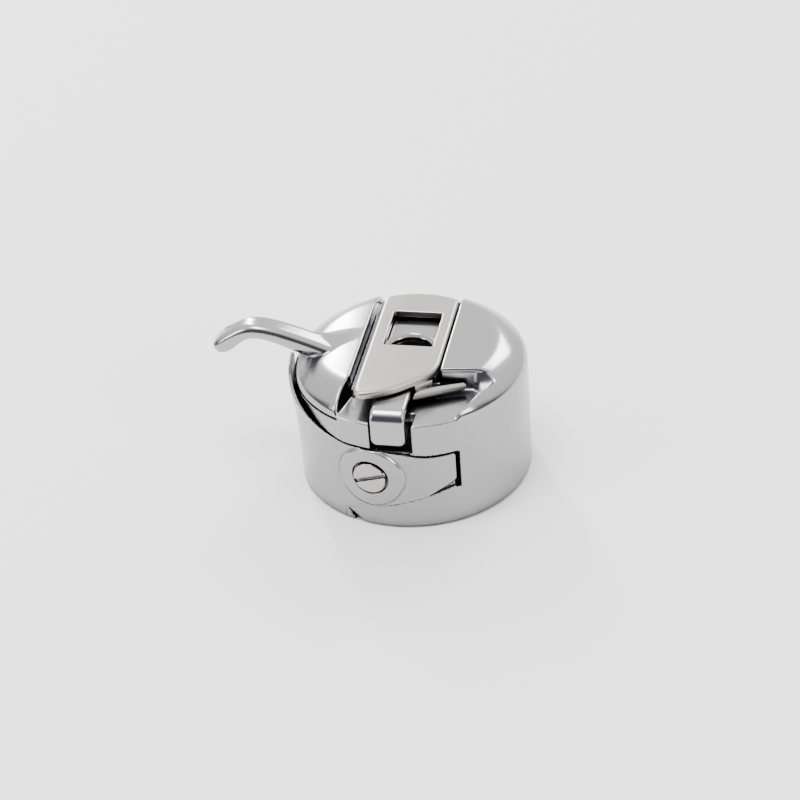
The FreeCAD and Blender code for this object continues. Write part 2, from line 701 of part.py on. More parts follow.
failed = [item.Name for item in doc.Objects if {"Invalid", "Error"} & set(item.State)]
if failed:
    raise SystemExit(f"objects that failed: {failed}")
for item in finished:
    if item.Shape.isNull() or not item.Shape.isValid() or not item.Shape.Solids:
        raise SystemExit(f"{item.Label} has no valid solid")
os.makedirs("parts", exist_ok=True)
for item in finished:
    item.Shape.exportStep(f"parts/{item.Label}.step")
    print(f"{item.Label}: {len(item.Shape.Solids)} solid, {item.Shape.Volume:.2f} mm3")
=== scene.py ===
"""Looks of a plated steel bobbin case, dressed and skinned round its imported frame.

The visible plates are carved from distance fields in millimetres, so that every cut has the
small polished radius of a tumbled and plated part, and each is then skinned with a fine mesh.
The frame's own pieces stay where a turned or drawn shape is already right.
"""

import logging
import math
from dataclasses import dataclass, field
from enum import Enum
from typing import Callable, Sequence

import bpy
import numpy as np
from mathutils import Matrix, Vector


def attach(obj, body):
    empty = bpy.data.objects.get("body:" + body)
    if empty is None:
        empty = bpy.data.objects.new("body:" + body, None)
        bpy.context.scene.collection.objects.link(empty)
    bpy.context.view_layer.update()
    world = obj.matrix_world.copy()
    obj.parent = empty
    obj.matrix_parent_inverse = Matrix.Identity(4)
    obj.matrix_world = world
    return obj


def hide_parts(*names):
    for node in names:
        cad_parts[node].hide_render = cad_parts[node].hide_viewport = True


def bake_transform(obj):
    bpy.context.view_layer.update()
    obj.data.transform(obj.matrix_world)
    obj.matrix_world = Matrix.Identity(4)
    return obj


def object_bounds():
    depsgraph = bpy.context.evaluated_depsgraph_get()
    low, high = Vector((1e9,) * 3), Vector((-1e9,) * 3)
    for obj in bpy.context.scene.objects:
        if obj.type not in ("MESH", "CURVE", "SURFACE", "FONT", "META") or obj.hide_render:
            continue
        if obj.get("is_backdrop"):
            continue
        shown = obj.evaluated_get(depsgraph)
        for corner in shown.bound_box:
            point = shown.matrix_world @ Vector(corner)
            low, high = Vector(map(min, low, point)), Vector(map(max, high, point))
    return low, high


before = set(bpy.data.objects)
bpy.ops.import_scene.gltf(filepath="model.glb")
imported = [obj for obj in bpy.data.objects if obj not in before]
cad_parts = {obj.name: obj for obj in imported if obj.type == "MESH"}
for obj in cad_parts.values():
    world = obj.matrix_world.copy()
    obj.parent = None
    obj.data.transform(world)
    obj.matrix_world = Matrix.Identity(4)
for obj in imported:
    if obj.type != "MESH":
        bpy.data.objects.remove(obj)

MM = 0.001
LOG = logging.getLogger("bobbin_case")

# Edge radii of the case's cuts, in mm: as punched, and as left by the tumbling.
CRISP = 0.05
EASED = 0.1

# A level outside every piece, where a cut that runs out into the open ends, in mm.
CLEAR = 18.0

Array = np.ndarray
Field = Callable[[Array, Array, Array], Array]
Pair = tuple[float, float]
Triple = tuple[float, float, float]
Line = tuple[Pair, Pair]
Box = tuple[Triple, Triple]
Outline = Sequence[Pair]
Finishes = dict[str, bpy.types.Material]


# ---------------------------------------------------------------- distance fields, in mm


def smooth_max(first: Array, second: Array, rounding: float | Array) -> Array:
    """Intersect two fields with a rounded edge.

    Args:
        first: One field's distances.
        second: The other field's distances.
        rounding: Reach of the rounding, in mm.

    Returns:
        The distances of what both share.
    """
    overlap = np.maximum(rounding - np.abs(first - second), 0.0)
    return np.maximum(first, second) + overlap * overlap / (4.0 * rounding)


def smooth_min(first: Array, second: Array, rounding: float | Array) -> Array:
    """Join two fields with a filleted corner; the arguments are those of smooth_max."""
    return -smooth_max(-first, -second, rounding)


def carve(solid: Array, space: Array, rounding: float = 0.16) -> Array:
    """Take a space out of a solid and round the edge that is left."""
    return smooth_max(solid, -space, rounding)


def slab(value: Array, low: float, high: float) -> Array:
    """Distance to the layer between two levels of one coordinate."""
    return np.abs(value - (low + high) / 2) - (high - low) / 2


def plate(u: Array, v: Array, low: tuple[float, float], high: tuple[float, float],
          corner: float = 0.0) -> Array:
    """Distance in a plane to a rectangle with rounded corners.

    Args:
        u: First coordinate.
        v: Second coordinate.
        low: The rectangle's low corner.
        high: Its high corner.
        corner: Radius of the corners.

    Returns:
        The signed distances.
    """
    across = slab(u, low[0], high[0]) + corner
    along = slab(v, low[1], high[1]) + corner
    outside = np.sqrt(np.maximum(across, 0) ** 2 + np.maximum(along, 0) ** 2)
    return outside + np.minimum(np.maximum(across, along), 0) - corner


def block(x: Array, y: Array, z: Array, low: Sequence[float], high: Sequence[float],
          rounding: float = 0.12) -> Array:
    """Distance to a block between two corners, with rounded edges."""
    sides = smooth_max(slab(x, low[0], high[0]), slab(y, low[1], high[1]), rounding)
    return smooth_max(sides, slab(z, low[2], high[2]), rounding)


def polygon(u: Array, v: Array, outline: Outline) -> Array:
    """Distance in a plane to a closed polygon.

    Args:
        u: First coordinate.
        v: Second coordinate.
        outline: The polygon's corners in order.

    Returns:
        The signed distances, negative inside.
    """
    nearest = np.full(np.broadcast(u, v).shape, 1e9, np.float32)
    sign = np.ones(nearest.shape, np.float32)
    previous = outline[-1]
    for corner in outline:
        run = (previous[0] - corner[0], previous[1] - corner[1])
        east, north = u - corner[0], v - corner[1]
        share = np.clip((east * run[0] + north * run[1]) / (run[0] ** 2 + run[1] ** 2), 0, 1)
        gap = (east - run[0] * share) ** 2 + (north - run[1] * share) ** 2
        nearest = np.minimum(nearest, gap)
        above = v >= corner[1]
        below = v < previous[1]
        turning = run[0] * north > run[1] * east
        same = (above & below & turning) | (~above & ~below & ~turning)
        sign = np.where(same, -sign, sign)
        previous = corner
    return sign * np.sqrt(nearest)


def through(points: Outline, steps: int = 5) -> list[tuple[float, float]]:
    """Points along a smooth line that passes through the given points.

    Args:
        points: The points to pass through.
        steps: Points per stretch.

    Returns:
        The points of the Catmull-Rom line.
    """
    known = np.array([points[0], *points, points[-1]], float)
    line = []
    for before, start, end, after in zip(known, known[1:], known[2:], known[3:]):
        for share in np.arange(steps) / steps:
            line.append(tuple(0.5 * (2 * start + (end - before) * share
                                     + (2 * before - 5 * start + 4 * end - after) * share ** 2
                                     + (3 * start - before - 3 * end + after) * share ** 3)))
    return line + [tuple(known[-1])]


def ease(value: Array, low: float, high: float) -> Array:
    """A smooth step from 0 at low to 1 at high."""
    share = np.clip((value - low) / (high - low), 0, 1)
    return share * share * (3 - 2 * share)


def tube_along_x(x: Array, y: Array, z: Array, centre: tuple[float, float], radius: float,
                 low: float, high: float, rounding: float = 0.08) -> Array:
    """Distance to a cylinder that lies along X at a place (y, z)."""
    return smooth_max(np.hypot(y - centre[0], z - centre[1]) - radius, slab(x, low, high), rounding)


# ---------------------------------------------------------------- skinning a field


CELL_CORNERS = [(a, b, c) for a in (0, 1) for b in (0, 1) for c in (0, 1)]
CELL_EDGES = [(i, j) for i in range(8) for j in range(i + 1, 8)
              if sum(a != b for a, b in zip(CELL_CORNERS[i], CELL_CORNERS[j])) == 1]
PULL_PASSES = 4
PULL_REACH = 0.01
LEAST_SLOPE = 0.05


def gradient(shape: Field, spots: Array, reach: float) -> Array:
    """Slope of a field at a set of spots, by central differences.

    Args:
        shape: The field, in mm.
        spots: The spots, one in each row.
        reach: How far to either side the field is read, in mm.

    Returns:
        The slopes, one in each row.
    """
    slopes = []
    for axis in range(3):
        offset = np.zeros(3)
        offset[axis] = reach
        ahead, behind = (spots + offset).T, (spots - offset).T
        slopes.append((shape(*ahead) - shape(*behind)) / (2 * reach))
    return np.stack(slopes, axis=1)


def skin(shape: Field, low: Sequence[float], high: Sequence[float], step: float) -> tuple[Array, Array]:
    """Wrap a field's zero level in a net of quads, one corner per crossed cell.

    Args:
        shape: The field, in mm.
        low: Low corner of the region to search.
        high: High corner of the region.
        step: Size of a cell.

    Returns:
        The corners of the mesh and its quads.
    """
    lines = [np.arange(a, b + step, step) for a, b in zip(low, high)]
    x, y, z = lines[0][:, None, None], lines[1][None, :, None], lines[2][None, None, :]
    full = tuple(len(line) for line in lines)
    values = np.broadcast_to(shape(x, y, z), full).astype(np.float32)
    inside = values < 0
    count = np.zeros([size - 1 for size in full], np.int8)
    for a, b, c in CELL_CORNERS:
        count += inside[a:full[0] - 1 + a, b:full[1] - 1 + b, c:full[2] - 1 + c]
    cells = np.argwhere((count > 0) & (count < 8))
    corner_values = np.stack([values[tuple((cells + np.array(corner)).T)] for corner in CELL_CORNERS], 1)
    total, crossings = np.zeros((len(cells), 3)), np.zeros((len(cells), 1))
    for first, second in CELL_EDGES:
        start, end = corner_values[:, first], corner_values[:, second]
        crossed = (start < 0) != (end < 0)
        share = np.where(crossed, start / np.where(crossed, start - end, 1), 0)[:, None]
        base, tip = np.array(CELL_CORNERS[first]), np.array(CELL_CORNERS[second])
        total += crossed[:, None] * (base + share * (tip - base))
        crossings += crossed[:, None]
    corners = np.array(low, float) + (cells + total / crossings) * step
    index = np.full(count.shape, -1, np.int64)
    index[tuple(cells.T)] = np.arange(len(cells))
    quads = []
    for axis in range(3):
        one, two = (axis + 1) % 3, (axis + 2) % 3
        near = [slice(1, size - 1) for size in full]
        far = list(near)
        near[axis], far[axis] = slice(0, full[axis] - 1), slice(1, full[axis])
        crossed = np.argwhere(inside[tuple(near)] != inside[tuple(far)])
        crossed[:, [one, two]] += 1
        ring = []
        for back_one, back_two in ((1, 1), (0, 1), (0, 0), (1, 0)):
            cell = crossed.copy()
            cell[:, one] -= back_one
            cell[:, two] -= back_two
            ring.append(index[tuple(cell.T)])
        ring = np.stack(ring, 1)
        flip = ~inside[tuple(crossed.T)]
        ring[flip] = ring[flip][:, ::-1]
        quads.append(ring)
    for _ in range(PULL_PASSES):
        slope = gradient(shape, corners, PULL_REACH)
        size = np.maximum((slope ** 2).sum(1), LEAST_SLOPE)
        move = np.clip(shape(*corners.T) / size, -0.5 * step, 0.5 * step)
        corners = corners - move[:, None] * slope
    return corners, np.concatenate(quads)


def skinned(name: str, shape: Field, low: Sequence[float], high: Sequence[float], step: float,
            soft_reach: float = 0.03) -> bpy.types.Object:
    """Build an object from a field, shaded with the field's own slopes.

    Args:
        name: Name of the piece.
        shape: The field, in mm.
        low: Low corner of the region that holds the piece.
        high: High corner.
        step: Cell size, in mm.
        soft_reach: Reach over which the shading normals are measured, in mm.

    Returns:
        The new object, in the frame's metres.
    """
    corners, quads = skin(shape, low, high, step)
    normals = gradient(shape, corners, soft_reach)
    normals /= np.maximum(np.linalg.norm(normals, axis=1, keepdims=True), 1e-9)
    mesh = bpy.data.meshes.new(name)
    mesh.from_pydata((corners * MM).tolist(), [], quads.tolist())
    mesh.shade_smooth()
    mesh.normals_split_custom_set_from_vertices(normals.tolist())
    piece = bpy.data.objects.new(name, mesh)
    bpy.context.scene.collection.objects.link(piece)
    LOG.info("%s: %d corners, %d faces", name, len(corners), len(quads))
    return piece


# ---------------------------------------------------------------- finishes


def linear(hex_colour: str) -> tuple[float, float, float, float]:
    """Turn an sRGB colour into a linear one.

    Args:
        hex_colour: Six hex digits, such as "D8D6D2".

    Returns:
        Linear red, green and blue, and full alpha.
    """
    parts = [int(hex_colour[i:i + 2], 16) / 255 for i in (0, 2, 4)]
    straight = [v / 12.92 if v <= 0.04045 else ((v + 0.055) / 1.055) ** 2.4 for v in parts]
    return (*straight, 1.0)


def add_node(tree: bpy.types.NodeTree, kind: str, settings: dict | None = None,
             links: dict | None = None) -> bpy.types.Node:
    """Add a node with its settings and the sockets that feed it.

    Args:
        tree: The node tree.
        kind: The node's type name.
        settings: Values by input socket name, or by property name.
        links: Output sockets by input socket name or number.

    Returns:
        The node.
    """
    node = tree.nodes.new(kind)
    for name, value in (settings or {}).items():
        if hasattr(node, name):
            setattr(node, name, value)
        else:
            node.inputs[name].default_value = value
    for name, source in (links or {}).items():
        tree.links.new(source, node.inputs[name])
    return node


class Grain(Enum):
    """Which way the fine marks of a finish run."""

    ALONG_X = (0.12, 1.0, 1.0)
    ALONG_Y = (1.0, 0.12, 1.0)
    AROUND = (1.0, 1.0, 6.0)
    EVEN = (1.0, 1.0, 1.0)


@dataclass(frozen=True)
class PlatedSteel:
    """Nickel plate on pressed steel: a grey, slightly warm mirror, softened by tumbling.

    The plate shows long soft reflections, faint handling smears, and very fine marks that catch
    the light; its colour carries painted shade, darker in crevices and where two plates meet.
    """

    name: str
    colour: str = "9E9D9D"
    # Painted shade: the dark navy that the base colour is mixed towards in crevices and gaps.
    crevice_shade: str = "24262F"
    roughness: float = 0.2
    smear: float = 0.1
    grain: Grain = Grain.EVEN
    mark_mm: float = 0.12
    mark_depth_mm: float = 0.0012
    ripple_mm: float = 2.6
    ripple_depth_mm: float = 0.004
    smears_per_ripple: float = 0.35
    smear_levels: tuple[float, float] = (0.35, 0.7)
    edge_mm: float = 0.0
    # Reach and levels of the occlusion that places the painted shade.
    crevice_mm: float = 2.2
    crevice_range: tuple[float, float] = (0.2, 0.86)

    def build(self) -> bpy.types.Material:
        """Build the material.

        Returns:
            The node material.
        """
        material = bpy.data.materials.new(self.name)
        material.use_nodes = True
        tree = material.node_tree
        tree.nodes.clear()
        place = add_node(tree, "ShaderNodeTexCoord").outputs["Object"]
        stretched = add_node(tree, "ShaderNodeMapping", {"Scale": self.grain.value}, {"Vector": place})
        marks = add_node(tree, "ShaderNodeTexNoise",
                         {"Scale": 1 / (self.mark_mm * MM), "Detail": 3.0, "Roughness": 0.6},
                         {"Vector": stretched.outputs[0]})
        ripple = add_node(tree, "ShaderNodeTexNoise", {"Scale": 1 / (self.ripple_mm * MM), "Detail": 1.5},
                          {"Vector": place})
        smear = add_node(tree, "ShaderNodeTexNoise",
                         {"Scale": self.smears_per_ripple / (self.ripple_mm * MM), "Detail": 4.0,
                          "Distortion": 0.6},
                         {"Vector": place})
        rough = add_node(tree, "ShaderNodeMapRange",
                         {"From Min": self.smear_levels[0], "From Max": self.smear_levels[1],
                          "To Min": self.roughness - self.smear / 2,
                          "To Max": self.roughness + self.smear / 2}, {"Value": smear.outputs["Fac"]})
        # Painted shade: an occlusion node mixes the base colour towards the dark navy in crevices, gaps and
        # under overlapping plates.
        cavity = add_node(tree, "ShaderNodeAmbientOcclusion",
                          {"samples": 8, "Distance": self.crevice_mm * MM})
        shade = add_node(tree, "ShaderNodeMapRange",
                         {"interpolation_type": "SMOOTHSTEP", "From Min": self.crevice_range[0],
                          "From Max": self.crevice_range[1]}, {"Value": cavity.outputs["AO"]})
        shaded_colour = add_node(tree, "ShaderNodeMix", {"data_type": "RGBA"})
        shaded_colour.inputs[6].default_value = linear(self.crevice_shade)
        shaded_colour.inputs[7].default_value = linear(self.colour)
        tree.links.new(shade.outputs["Result"], shaded_colour.inputs[0])
        broad = add_node(tree, "ShaderNodeBump", {"Distance": self.ripple_depth_mm * MM},
                         {"Height": ripple.outputs["Fac"]})
        if self.edge_mm:
            edge = add_node(tree, "ShaderNodeBevel", {"samples": 6, "Radius": self.edge_mm * MM})
            tree.links.new(edge.outputs["Normal"], broad.inputs["Normal"])
        fine = add_node(tree, "ShaderNodeBump", {"Distance": self.mark_depth_mm * MM},
                        {"Height": marks.outputs["Fac"], "Normal": broad.outputs["Normal"]})
        shader = add_node(tree, "ShaderNodeBsdfPrincipled", {"Metallic": 1.0},
                          {"Base Color": shaded_colour.outputs[2], "Roughness": rough.outputs["Result"],
                           "Normal": fine.outputs["Normal"]})
        add_node(tree, "ShaderNodeOutputMaterial", None, {"Surface": shader.outputs["BSDF"]})
        return material


@dataclass(frozen=True)
class TableTop:
    """A matt white laminate table: even and pale, with no clear reflection."""

    name: str = "white_laminate_matt"
    colour: str = "F7F7F6"
    roughness: float = 0.6

    def build(self) -> bpy.types.Material:
        """Build the material.

        Returns:
            The node material.
        """
        material = bpy.data.materials.new(self.name)
        material.use_nodes = True
        shader = material.node_tree.nodes["Principled BSDF"]
        shader.inputs["Base Color"].default_value = linear(self.colour)
        shader.inputs["Roughness"].default_value = self.roughness
        return material


def coat(piece: bpy.types.Object, material: bpy.types.Material) -> None:
    """Give a piece one material."""
    piece.data.materials.clear()
    piece.data.materials.append(material)


# ---------------------------------------------------------------- sub-assemblies, sizes in mm


@dataclass
class FaceCover:
    """The domed cover of the case, with its latch channel, near recess and bent finger."""

    radius: float = 11.3
    plug: float = 10.44
    underside: float = 10.8
    seam: float = 11.45
    seam_lap: float = 0.3
    seam_edge: float = 0.02
    edge_top: float = 12.1
    edge_round: float = 0.55
    shoulder: float = 9.35
    shoulder_drop: float = 0.1
    shoulder_round: float = 1.3
    crown: float = 13.95
    left_fall: Pair = (0.11, 0.021)  # straight and curved share
    right_fall: float = 0.006
    roof_scale: float = 0.85
    channel: Pair = (-4.6, 3.7)
    channel_near: float = -6.5
    channel_floor: float = 12.4
    channel_edge: float = 0.3
    floor_lap: float = 0.4
    heel_room: Pair = (6.7, 11.7)  # start, floor
    heel_room_edge: float = 0.15
    recess_levels: Pair = (11.8, 13.5)
    recess_foot: float = 0.25
    recess_edge: float = 0.32
    notch: Pair = (-2.05, 2.0)
    notch_inner: float = -9.0
    notch_edge: float = 0.14
    cut_floor: float = 9.0
    post_hole: float = 3.21
    groove: tuple[float, ...] = (0.72, -8.3, -3.25, 11.05)  # half width, near, far, floor
    recess_top_outline: Outline = ((-4.6, -6.4), (3.3, -4.5), (7.5, -3.95), (10.1, -4.2), (8.1, -6.3),
                                   (6.75, -8.9), (5.2, -12.6), (-6.6, -12.6), (-5.45, -9.1))
    recess_floor_outline: Outline = ((-4.5, -6.4), (3.3, -4.7), (6.9, -4.4), (8.0, -5.2), (7.3, -6.6),
                                     (6.2, -8.9), (4.8, -12.6), (-6.1, -12.6), (-5.1, -9.1))
    finger_middle: float = -0.75
    finger_half: float = 1.3
    finger_edge: float = 0.9
    finger_fillets: Pair = (0.15, 1.65)
    finger_fillet_span: Pair = (-0.9, 1.3)
    finger_top: Outline = ((-5.5, 12.9), (-7.2, 13.6), (-9.0, 14.3), (-11.0, 15.02), (-13.0, 15.62),
                           (-14.7, 15.87), (-16.0, 15.68), (-17.3, 15.05), (-18.6, 14.15), (-19.2, 13.5))
    finger_under: Outline = ((-19.15, 13.0), (-18.75, 12.6), (-18.2, 12.5), (-17.4, 12.85), (-16.5, 13.6),
                             (-15.6, 14.2), (-14.4, 14.28), (-13.2, 14.0), (-12.2, 13.6), (-11.0, 13.1),
                             (-9.5, 12.5), (-8.0, 12.0))
    nick: Triple = (-17.95, -0.2, 14.6)  # middle
    nick_way: Pair = (0.79, 0.61)  # direction along the sloping tip
    nick_half: Triple = (0.45, 0.13, 0.35)  # length, width, depth
    room: Box = ((-19.8, -11.7, 10.4), (11.8, 11.7, 16.4))
    step: float = 0.11
    finger_side: list[Pair] = field(init=False)

    def __post_init__(self) -> None:
        """Work out the finger's side outline."""
        self.finger_side = through(self.finger_top) + through(self.finger_under)

    def roof(self, x: Array, y: Array) -> Array:
        """Height of the domed face at a place.

        Args:
            x: Places across the channel.
            y: Places along the channel.

        Returns:
            The heights.
        """
        radius = np.hypot(x, y)
        fall = (self.crown - self.shoulder_drop - self.edge_top) / (self.radius - self.shoulder)
        shoulder = self.edge_top + fall * (self.radius - radius)
        left = np.maximum(self.channel[0] - x, 0)
        right = np.maximum(x - self.channel[1], 0)
        straight, curved = self.left_fall
        top = self.crown - straight * left - curved * left ** 2 - self.right_fall * right ** 2
        return smooth_min(shoulder, top, self.shoulder_round)

    def recess(self, x: Array, y: Array, z: Array) -> Array:
        """Distance to the hollow at the near side, whose walls slope.

        Args:
            x: Places across the channel.
            y: Places along the channel.
            z: Heights.

        Returns:
            The signed distances.
        """
        low, high = self.recess_levels
        share = np.clip((z - low) / (high - low), 0, 1)
        top = polygon(x, y, self.recess_top_outline)
        floor = polygon(x, y, self.recess_floor_outline)
        walls = (1 - share) * floor + share * top
        return smooth_max(walls, low - z, self.recess_foot)

    def finger(self, x: Array, y: Array, z: Array) -> Array:
        """Distance to the bent finger, with a small nick near its tip.

        Args:
            x: Places along the finger.
            y: Places across it.
            z: Heights.

        Returns:
            The signed distances.
        """
        across = np.abs(y - self.finger_middle) - self.finger_half
        bar = smooth_max(polygon(x, z, self.finger_side), across, self.finger_edge)
        (east, up), (place_x, place_y, place_z) = self.nick_way, self.nick
        along = (x - place_x) * east + (z - place_z) * up
        deep = (z - place_z) * east - (x - place_x) * up
        half_length, half_width, half_depth = self.nick_half
        nick = np.maximum(np.maximum(np.abs(along) - half_length, np.abs(y - place_y) - half_width),
                          np.abs(deep) - half_depth)
        return carve(bar, nick, EASED)

    def cuts(self, x: Array, y: Array, z: Array) -> list[tuple[Array, float]]:
        """Spaces cut into the face: channel, heel room, recess, tab notch, post hole, coil groove.

        Args:
            x: Places across the channel.
            y: Places along the channel.
            z: Heights.

        Returns:
            Each space's signed distances, with the radius left on its edge.
        """
        left, right = self.channel
        floor_top = self.channel_floor + self.floor_lap
        channel = block(x, y, z, (left, self.channel_near, self.channel_floor), (right, CLEAR, CLEAR))
        heel = block(x, y, z, (left, *self.heel_room), (right, CLEAR, floor_top))
        notch = block(x, y, z, (self.notch[0], -CLEAR, self.cut_floor),
                      (self.notch[1], self.notch_inner, CLEAR))
        post = np.maximum(np.hypot(x, y) - self.post_hole, self.cut_floor - z)
        half, near, far, bottom = self.groove
        groove = block(x, y, z, (-half, near, bottom), (half, far, floor_top))
        return [(channel, self.channel_edge), (heel, self.heel_room_edge),
                (self.recess(x, y, z), self.recess_edge), (notch, self.notch_edge),
                (post, EASED), (groove, EASED)]

    def shape(self, x: Array, y: Array, z: Array) -> Array:
        """Distance to the whole cover.

        Args:
            x: Places across the channel.
            y: Places along the channel.
            z: Heights.

        Returns:
            The signed distances.
        """
        radius = np.hypot(x, y)
        upper = smooth_max(radius - self.radius, (z - self.roof(x, y)) * self.roof_scale, self.edge_round)
        upper = smooth_max(upper, self.seam - z, self.seam_edge)
        above_seat = np.maximum(radius - self.plug, self.underside - z)
        face = np.minimum(upper, np.maximum(above_seat, z - self.seam - self.seam_lap))
        near, far = self.finger_fillets
        start, end = (self.finger_middle + reach for reach in self.finger_fillet_span)
        face = smooth_min(face, self.finger(x, y, z), near + (far - near) * ease(y, start, end))
        face = np.maximum(face, np.minimum(self.seam - z, above_seat))
        for space, rounding in self.cuts(x, y, z):
            face = carve(face, space, rounding)
        return face

    def build(self) -> bpy.types.Object:
        """Skin the cover and let it stand for the frame's plain one.

        Returns:
            The cover.
        """
        piece = skinned("domed_face_cover", self.shape, *self.room, self.step)
        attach(piece, "case")
        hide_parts("face_cover")
        return piece

    def dress(self, piece: bpy.types.Object, finishes: Finishes) -> None:
        """Plate the cover."""
        coat(piece, finishes["nickel_plate_polished"])


@dataclass
class Latch:
    """The lever, the slide with its tab, and the coil spring, round the hinge pin."""

    lever_sides: Pair = (-3.8, 3.6)
    lever_levels: Pair = (13.35, 14.1)
    lever_edges: Pair = (0.12, 0.42)  # under, top
    far_arc: Pair = (0.45, 8.05)  # centre along Y, radius
    far_corner: float = 0.5
    near_line: Line = ((-3.8, -9.6), (-0.8, -9.0))
    slant_line: Line = ((-0.8, -9.0), (3.6, -5.0))
    near_corners: Pair = (1.2, 1.3)  # between the lines, at the sides
    window: Line = ((-2.36, -0.85), (2.36, 5.0))
    window_corner: float = 0.18
    window_edge: float = 0.22
    hinge: Pair = (8.1, 12.6)  # along Y, height
    lever_pin_hole: float = 0.39
    slide_pin_hole: float = 0.42
    ear: Triple = (2.4, 3.3, 0.72)  # inner, outer, radius
    ear_root: float = 0.6
    root_edge: float = 0.06
    root_lap: float = 0.1
    tongue_outline: Outline = ((1.6, -7.65), (6.4, -5.2), (6.15, -4.75), (3.2, -5.75), (1.7, -6.6))
    tongue_root: Outline = ((1.7, -6.9), (3.2, -5.75), (3.2, -5.5), (1.7, -6.3))
    tongue_levels: Pair = (12.1, 13.0)
    tongue_edge: float = 0.55
    tongue_root_depth: float = 0.2
    slide_levels: Pair = (12.45, 13.2)
    slide_half: float = 3.3
    slide_span: Pair = (-4.6, 6.9)
    neck_lap: float = 1.0
    slide_edges: Pair = (0.14, 0.4)  # strip, tab
    neck: Pair = (-1.9, 1.45)
    tab_face: float = -11.35
    tab_foot: float = 9.5
    tab_bend: float = 0.95
    tab_corner: float = 0.7
    stud_hole: float = 2.2
    stud_hole_far: float = 0.06
    stud_flare: Pair = (0.3, 0.35)  # depth, most
    travel: float = 1.3
    knuckle: Pair = (0.7, 2.3)  # radius, half width
    knuckle_lap: float = 0.5
    lug: Box = ((-0.45, -8.2, 11.3), (0.45, -7.65, 13.0))
    lug_edge: float = 0.08
    coil_wire: float = 0.11
    coil_radius: float = 0.47
    coil_span: Pair = (-7.5, -3.48)
    coil_height: float = 11.75
    coil_turns: float = 6.5
    coil_end_squeeze: float = 0.02
    coil_facets: tuple[int, int] = (10, 28)  # round the wire, along a turn
    lever_room: Box = ((-4.1, -10.2, 11.6), (7.0, 9.3, 14.6))
    slide_room: Box = ((-3.7, -11.8, 9.1), (3.7, 9.3, 13.7))
    step: float = 0.09

    @staticmethod
    def beyond(x: Array, y: Array, line: Line) -> Array:
        """Distance past a line, on its right-hand side as it is walked.

        Args:
            x: Places across the channel.
            y: Places along the channel.
            line: Where the line starts and where it ends.

        Returns:
            The signed distances.
        """
        (east, north), (to_east, to_north) = line
        length = math.hypot(to_east - east, to_north - north)
        return ((x - east) * (to_north - north) - (y - north) * (to_east - east)) / length

    def around_pin(self, y: Array, z: Array, radius: float) -> Array:
        """Distance to a hole along the hinge's axis."""
        return np.hypot(y - self.hinge[0], z - self.hinge[1]) - radius

    def lever_outline(self, x: Array, y: Array) -> Array:
        """Distance in plan to the lever, with an arc at its far end and a slanting near end.

        Args:
            x: Places across the channel.
            y: Places along the channel.

        Returns:
            The signed distances.
        """
        centre, radius = self.far_arc
        outline = smooth_max(slab(x, *self.lever_sides),
                             np.hypot(x, np.maximum(y - centre, 0)) - radius, self.far_corner)
        between, sides = self.near_corners
        ends = smooth_max(self.beyond(x, y, self.near_line), self.beyond(x, y, self.slant_line), between)
        return smooth_max(outline, ends, sides)

    def lever_shape(self, x: Array, y: Array, z: Array) -> Array:
        """Distance to the lever with its window, hinge ears and nail tongue.

        Args:
            x: Places across the channel.
            y: Places along the channel.
            z: Heights.

        Returns:
            The signed distances.
        """
        low, high = self.lever_levels
        under_edge, top_edge = self.lever_edges
        lever = smooth_max(self.lever_outline(x, y), z - high, top_edge)
        lever = smooth_max(lever, low - z, under_edge)
        lever = carve(lever, plate(x, y, *self.window, corner=self.window_corner), self.window_edge)
        inner, outer, radius = self.ear
        for side in (-1, 1):
            ear = tube_along_x(side * x, y, z, self.hinge, radius, inner, outer)
            root = block(side * x, y, z, (inner, self.hinge[0] - radius, self.hinge[1]),
                         (outer, self.hinge[0] + self.ear_root * radius, low + self.root_lap), self.root_edge)
            lever = np.minimum(lever, np.minimum(ear, root))
        tongue = smooth_max(polygon(x, y, self.tongue_outline), slab(z, *self.tongue_levels),
                            self.tongue_edge)
        root_levels = slab(z, self.tongue_levels[1] - self.tongue_root_depth, low + self.root_lap)
        root = np.maximum(polygon(x, y, self.tongue_root), root_levels)
        lever = smooth_min(lever, np.minimum(tongue, root), CRISP)
        return carve(lever, self.around_pin(y, z, self.lever_pin_hole), CRISP)

    def bent_strip(self, x: Array, y: Array, z: Array) -> Array:
        """Distance to the slide's neck and the tab it bends down into.

        Args:
            x: Places across the channel.
            y: Places along the channel.
            z: Heights.

        Returns:
            The signed distances.
        """
        low, high = self.slide_levels
        half, middle = (high - low) / 2, (low + high) / 2
        bend_y, bend_z = self.tab_face + half + self.tab_bend, middle - self.tab_bend
        root = self.slide_span[0] + self.neck_lap
        flat = np.hypot(np.maximum(bend_y - y, 0) + np.maximum(y - root, 0), z - middle)
        upright = np.hypot(y - self.tab_face - half, np.maximum(z - bend_z, 0))
        corner = np.abs(np.hypot(y - bend_y, z - bend_z) - self.tab_bend)
        bent = np.where((y < bend_y) & (z > bend_z), corner, np.minimum(flat, upright)) - half
        width = plate(x, z, (self.neck[0], self.tab_foot), (self.neck[1], CLEAR), corner=self.tab_corner)
        return smooth_max(bent, width, self.slide_edges[1])

